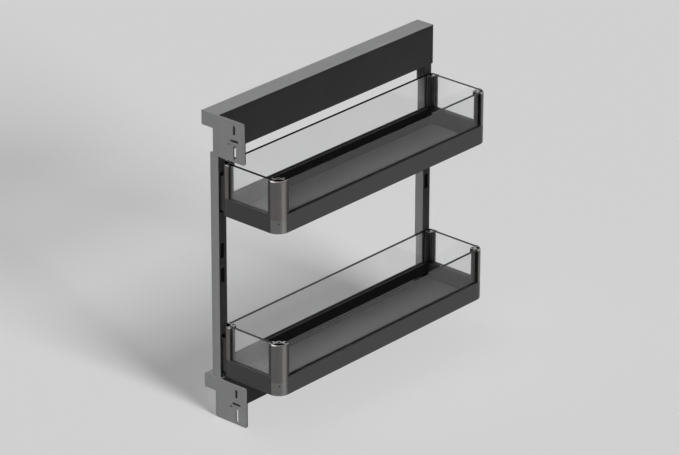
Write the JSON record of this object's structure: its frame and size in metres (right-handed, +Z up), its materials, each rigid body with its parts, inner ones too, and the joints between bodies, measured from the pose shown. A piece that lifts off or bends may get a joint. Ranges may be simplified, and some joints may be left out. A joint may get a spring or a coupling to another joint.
{
  "type": "pull-out spice rack",
  "caption": "Side-mounted pull-out rack with two hook-on baskets, each a tray with rounded corner posts and glass panes, on a frame of two rails and two slotted uprights.",
  "frame": {"origin": "the set-out corner at the cabinet's side panel: X = 0 on the panel's inner face, Y = 0 on the back of the door, Z = 0 at the lowest edge of the rack, drawn closed", "axes": "+X from the side panel across the cabinet, +Y back into the cabinet along the rails, +Z up; the rack pulls out towards -Y"},
  "size_m": [0.148, 0.48, 0.49],
  "materials": {
    "frame_paint": "fine matt powder coat",
    "tray_paint": "satin powder coat",
    "post_metal": "dark anodised, brushed",
    "zinc_steel": "zinc plated",
    "ball_steel": "polished",
    "cast_metal": "as cast",
    "seal_rubber": "matt",
    "mat_rubber": "matt, fine grain",
    "clear_glass": "clear, polished edges"
  },
  "bodies": {
    "cabinet_side": {"slide_outer_lower": "zinc_steel", "slide_outer_upper": "zinc_steel", "rear_buffers": "seal_rubber"},
    "carriage": {"rail_housing_lower": "frame_paint", "rail_housing_upper": "frame_paint", "door_bracket_lower": "frame_paint", "door_bracket_upper": "frame_paint", "upright_front": "frame_paint", "upright_rear": "frame_paint", "upright_connectors_bottom": "cast_metal", "upright_connectors_top": "cast_metal", "slide_inner_lower": "zinc_steel", "slide_inner_upper": "zinc_steel", "runner_screws": "zinc_steel"},
    "outer_cage_lower": {"outer_ball_cage_lower": "zinc_steel", "outer_balls_lower": "ball_steel"},
    "middle_lower": {"slide_middle_lower": "zinc_steel"},
    "inner_cage_lower": {"inner_ball_cage_lower": "zinc_steel", "inner_balls_lower": "ball_steel"},
    "basket_lower": {"tray_lower": "tray_paint", "tray_mat_lower": "mat_rubber", "glass_front_lower": "clear_glass", "glass_rear_lower": "clear_glass", "glass_left_lower": "clear_glass", "glass_right_lower": "clear_glass", "glazing_gasket_lower": "seal_rubber", "post_front_left_lower": "post_metal", "post_rear_left_lower": "post_metal", "post_rear_right_lower": "post_metal", "post_front_right_lower": "post_metal", "post_foot_lower": "post_metal", "post_screws_lower": "zinc_steel", "basket_hooks_lower": "tray_paint"},
    "outer_cage_upper": {"outer_ball_cage_upper": "zinc_steel", "outer_balls_upper": "ball_steel"},
    "middle_upper": {"slide_middle_upper": "zinc_steel"},
    "inner_cage_upper": {"inner_ball_cage_upper": "zinc_steel", "inner_balls_upper": "ball_steel"},
    "basket_upper": {"tray_upper": "tray_paint", "tray_mat_upper": "mat_rubber", "glass_front_upper": "clear_glass", "glass_rear_upper": "clear_glass", "glass_left_upper": "clear_glass", "glass_right_upper": "clear_glass", "glazing_gasket_upper": "seal_rubber", "post_front_left_upper": "post_metal", "post_rear_left_upper": "post_metal", "post_rear_right_upper": "post_metal", "post_front_right_upper": "post_metal", "post_foot_upper": "post_metal", "post_screws_upper": "zinc_steel", "basket_hooks_upper": "tray_paint"}
  },
  "joints": [
    {"name": "pull_out", "type": "slide", "parent": "cabinet_side", "child": "carriage", "axis": [0, -1, 0], "range_m": [0, 0.43]},
    {"name": "outer_cage_lower_travel", "type": "slide", "parent": "cabinet_side", "child": "outer_cage_lower", "axis": [0, -1, 0], "range_m": [0, 0.1075]},
    {"name": "middle_lower_travel", "type": "slide", "parent": "cabinet_side", "child": "middle_lower", "axis": [0, -1, 0], "range_m": [0, 0.215]},
    {"name": "inner_cage_lower_travel", "type": "slide", "parent": "cabinet_side", "child": "inner_cage_lower", "axis": [0, -1, 0], "range_m": [0, 0.3225]},
    {"name": "basket_lower_lift_off", "type": "slide", "parent": "carriage", "child": "basket_lower", "axis": [0, 0, 1], "range_m": [0, 0.007]},
    {"name": "outer_cage_upper_travel", "type": "slide", "parent": "cabinet_side", "child": "outer_cage_upper", "axis": [0, -1, 0], "range_m": [0, 0.1075]},
    {"name": "middle_upper_travel", "type": "slide", "parent": "cabinet_side", "child": "middle_upper", "axis": [0, -1, 0], "range_m": [0, 0.215]},
    {"name": "inner_cage_upper_travel", "type": "slide", "parent": "cabinet_side", "child": "inner_cage_upper", "axis": [0, -1, 0], "range_m": [0, 0.3225]},
    {"name": "basket_upper_lift_off", "type": "slide", "parent": "carriage", "child": "basket_upper", "axis": [0, 0, 1], "range_m": [0, 0.007]}
  ],
  "couplings": [
    {"joint": "outer_cage_lower_travel", "follows": "pull_out", "ratio": 0.25},
    {"joint": "middle_lower_travel", "follows": "pull_out", "ratio": 0.5},
    {"joint": "inner_cage_lower_travel", "follows": "pull_out", "ratio": 0.75},
    {"joint": "outer_cage_upper_travel", "follows": "pull_out", "ratio": 0.25},
    {"joint": "middle_upper_travel", "follows": "pull_out", "ratio": 0.5},
    {"joint": "inner_cage_upper_travel", "follows": "pull_out", "ratio": 0.75}
  ]
}
